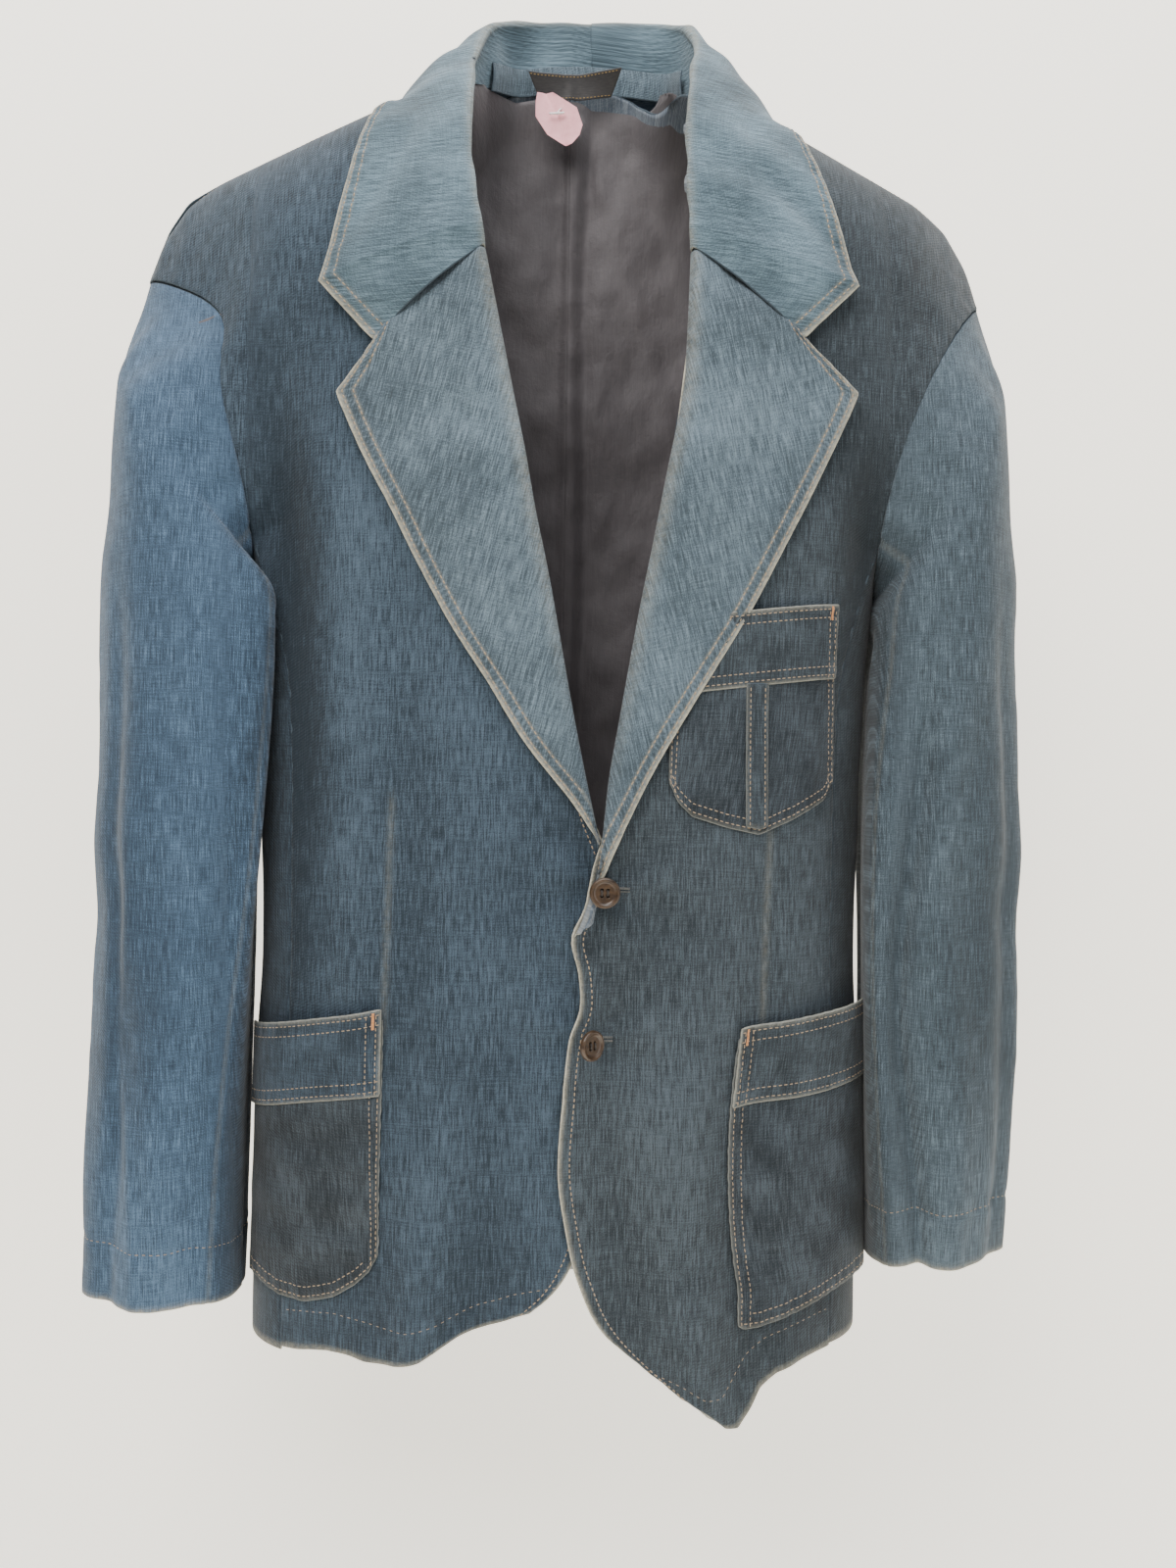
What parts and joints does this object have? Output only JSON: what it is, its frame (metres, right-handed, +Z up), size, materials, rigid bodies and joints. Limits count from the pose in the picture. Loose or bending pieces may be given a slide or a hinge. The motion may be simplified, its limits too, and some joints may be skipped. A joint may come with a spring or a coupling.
{
  "type": "denim sport coat",
  "caption": "Washed-denim jacket with notched lapels, patch pockets with stitched bands, lined hanging sleeves and a buttoned front.",
  "frame": {"origin": "hanger seat: centre plane of the body, midway between front and back, at the height where the neck of a clothes hanger comes out between the collar's two sides", "axes": "+Z up, the coat faces -Y, +X is the wearer's left"},
  "size_m": [0.55, 0.1887, 0.882],
  "materials": {
    "denim_body": "washed denim",
    "denim_collar": "washed denim with worn edges",
    "denim_pocket": "washed denim",
    "denim_sleeve": "washed denim",
    "lining": "satin",
    "padding": "felt",
    "button": "satin",
    "thread": "matte",
    "label": "woven",
    "tag_paper": "matte",
    "pin_plastic": "translucent"
  },
  "bodies": {
    "coat": {"right_front": "denim_body", "left_front": "denim_body", "right_side_panel": "denim_body", "left_side_panel": "denim_body", "right_back": "denim_body", "left_back": "denim_body", "right_front_facing": "denim_body", "left_front_facing": "denim_body", "back_collar": "denim_collar", "collar_stand": "denim_collar", "right_pocket_bag": "denim_pocket", "left_pocket_bag": "denim_pocket", "breast_pocket_bag": "denim_pocket", "breast_pocket_band": "denim_pocket", "breast_pocket_strip": "denim_pocket", "right_front_lining": "lining", "left_front_lining": "lining", "right_back_lining": "lining", "left_back_lining": "lining", "right_shoulder_pad": "padding", "left_shoulder_pad": "padding", "upper_button_thread": "thread", "lower_button_thread": "thread", "neck_label": "label"},
    "left_corner": {"left_front_corner": "denim_body"},
    "right_lapel_leaf": {"right_lapel": "denim_collar", "right_collar_end": "denim_collar"},
    "left_lapel_leaf": {"left_lapel": "denim_collar", "left_collar_end": "denim_collar"},
    "right_sleeve": {"right_top_sleeve": "denim_sleeve", "right_under_sleeve": "denim_sleeve", "right_sleeve_lining": "lining"},
    "left_sleeve": {"left_top_sleeve": "denim_sleeve", "left_under_sleeve": "denim_sleeve", "left_sleeve_lining": "lining"},
    "right_pocket_lip": {"right_pocket_band": "denim_pocket"},
    "left_pocket_lip": {"left_pocket_band": "denim_pocket"},
    "upper_button_disc": {"upper_button": "button"},
    "lower_button_disc": {"lower_button": "button"},
    "tag": {"paper_tag": "tag_paper", "tag_pin": "pin_plastic"}
  },
  "joints": [
    {"name": "right_sleeve_lift", "type": "hinge", "parent": "coat", "child": "right_sleeve", "pos_m": [-0.259, 0, -0.151], "axis": [0, 1, 0], "range_deg": [0, 45], "stiffness_Nm_per_rad": 1},
    {"name": "left_sleeve_lift", "type": "hinge", "parent": "coat", "child": "left_sleeve", "pos_m": [0.259, 0, -0.151], "axis": [0, -1, 0], "range_deg": [0, 45], "stiffness_Nm_per_rad": 1},
    {"name": "right_lapel_turn", "type": "hinge", "parent": "coat", "child": "right_lapel_leaf", "pos_m": [0.016, -0.086, -0.478], "axis": [-0.1984, 0.024, 0.9798], "range_deg": [0, 30]},
    {"name": "left_lapel_turn", "type": "hinge", "parent": "coat", "child": "left_lapel_leaf", "pos_m": [0.02, -0.086, -0.494], "axis": [-0.1348, -0.0235, -0.9906], "range_deg": [0, 30]},
    {"name": "left_corner_swing", "type": "hinge", "parent": "coat", "child": "left_corner", "pos_m": [0.003, -0.081, -0.67], "axis": [-0.6036, 0, 0.7973], "range_deg": [0, 45]},
    {"name": "right_pocket_open", "type": "hinge", "parent": "coat", "child": "right_pocket_lip", "pos_m": [-0.097, -0.08, -0.641], "axis": [1, 0, 0], "range_deg": [0, 12], "stiffness_Nm_per_rad": 0.05},
    {"name": "left_pocket_open", "type": "hinge", "parent": "coat", "child": "left_pocket_lip", "pos_m": [0.097, -0.08, -0.641], "axis": [1, 0, 0], "range_deg": [0, 12], "stiffness_Nm_per_rad": 0.05},
    {"name": "upper_button_tilt", "type": "hinge", "parent": "coat", "child": "upper_button_disc", "pos_m": [0.021, -0.0875, -0.514], "axis": [0, 0, 1], "range_deg": [-10, 10], "stiffness_Nm_per_rad": 0.002},
    {"name": "lower_button_tilt", "type": "hinge", "parent": "coat", "child": "lower_button_disc", "pos_m": [0.014, -0.0885, -0.598], "axis": [0, 0, -1], "range_deg": [0, 42], "stiffness_Nm_per_rad": 0.002},
    {"name": "tag_swing", "type": "hinge", "parent": "coat", "child": "tag", "pos_m": [-0.004, 0.0495, -0.004], "axis": [-1, 0, 0], "range_deg": [0, 35]}
  ]
}
